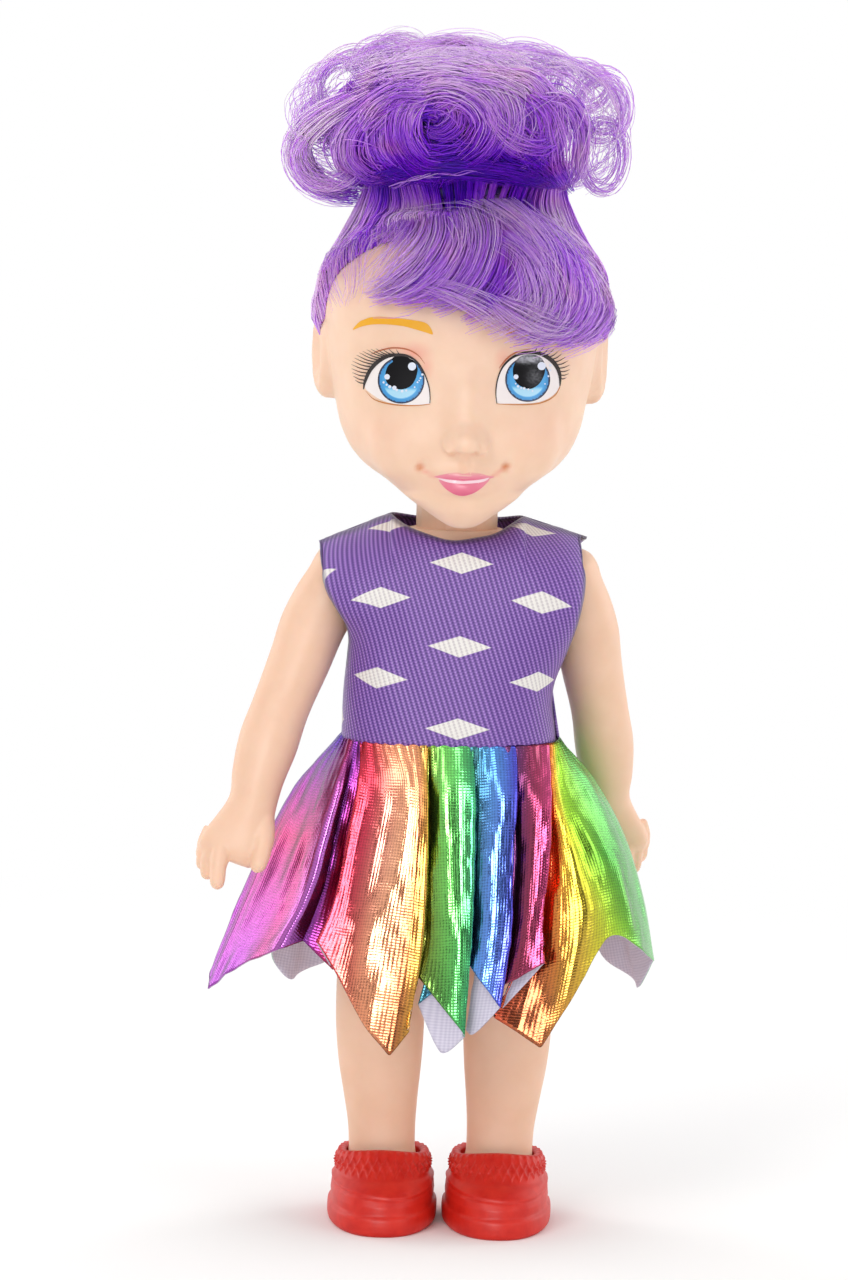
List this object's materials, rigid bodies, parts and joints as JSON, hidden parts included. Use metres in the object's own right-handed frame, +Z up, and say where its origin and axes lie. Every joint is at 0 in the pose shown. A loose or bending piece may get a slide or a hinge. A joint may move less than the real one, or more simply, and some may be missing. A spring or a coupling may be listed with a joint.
{
  "type": "vinyl doll",
  "caption": "Small standing vinyl doll with a curly topknot, rib-knit bodice, pleated zigzag foil skirt and slip-on shoes; head, arms and legs turn.",
  "frame": {"origin": "on the floor, under the centre of the doll's bounding box", "axes": "+Z up, the doll faces -Y, +X towards the doll's own left"},
  "size_m": [0.0694, 0.0466, 0.1814],
  "materials": {
    "skin": "satin soft vinyl",
    "hair": "curled nylon strands",
    "tie": "matt",
    "knit": "satin rib knit with a printed pattern",
    "tape": "woven closure tape",
    "foil": "metallic foil cloth in rainbow panels",
    "shoe": "soft matt sheen"
  },
  "bodies": {
    "torso": {"torso_front": "skin", "torso_back": "skin", "bodice_front": "knit", "bodice_back_left": "knit", "bodice_back_right": "knit", "hook_tape": "tape", "loop_tape": "tape", "skirt": "foil"},
    "head": {"head": "skin", "hair_cap": "hair", "fringe": "hair", "bun": "hair", "hair_elastic": "tie"},
    "right_arm": {"right_arm": "skin"},
    "left_arm": {"left_arm": "skin"},
    "right_leg": {"right_leg": "skin", "right_shoe": "shoe"},
    "left_leg": {"left_leg": "skin", "left_shoe": "shoe"}
  },
  "joints": [
    {"name": "neck_turn", "type": "hinge", "parent": "torso", "child": "head", "pos_m": [0.00314, 0.00004, 0.112], "axis": [0, 0, 1], "continuous": true},
    {"name": "right_shoulder", "type": "hinge", "parent": "torso", "child": "right_arm", "pos_m": [-0.01056, -0.00146, 0.0988], "axis": [-1, 0, 0], "range_deg": [-75, 135], "deforming": ["bodice_front", "bodice_back_right", "skirt"]},
    {"name": "left_shoulder", "type": "hinge", "parent": "torso", "child": "left_arm", "pos_m": [0.01683, -0.00146, 0.0988], "axis": [-1, 0, 0], "range_deg": [-42, 150], "deforming": ["bodice_front", "bodice_back_left", "skirt"]},
    {"name": "right_hip", "type": "hinge", "parent": "torso", "child": "right_leg", "pos_m": [-0.00117, -0.00146, 0.064], "axis": [-1, 0, 0], "range_deg": [-30, 90], "deforming": ["skirt"]},
    {"name": "left_hip", "type": "hinge", "parent": "torso", "child": "left_leg", "pos_m": [0.00743, -0.00146, 0.064], "axis": [-1, 0, 0], "range_deg": [-30, 90], "deforming": ["skirt"]}
  ]
}
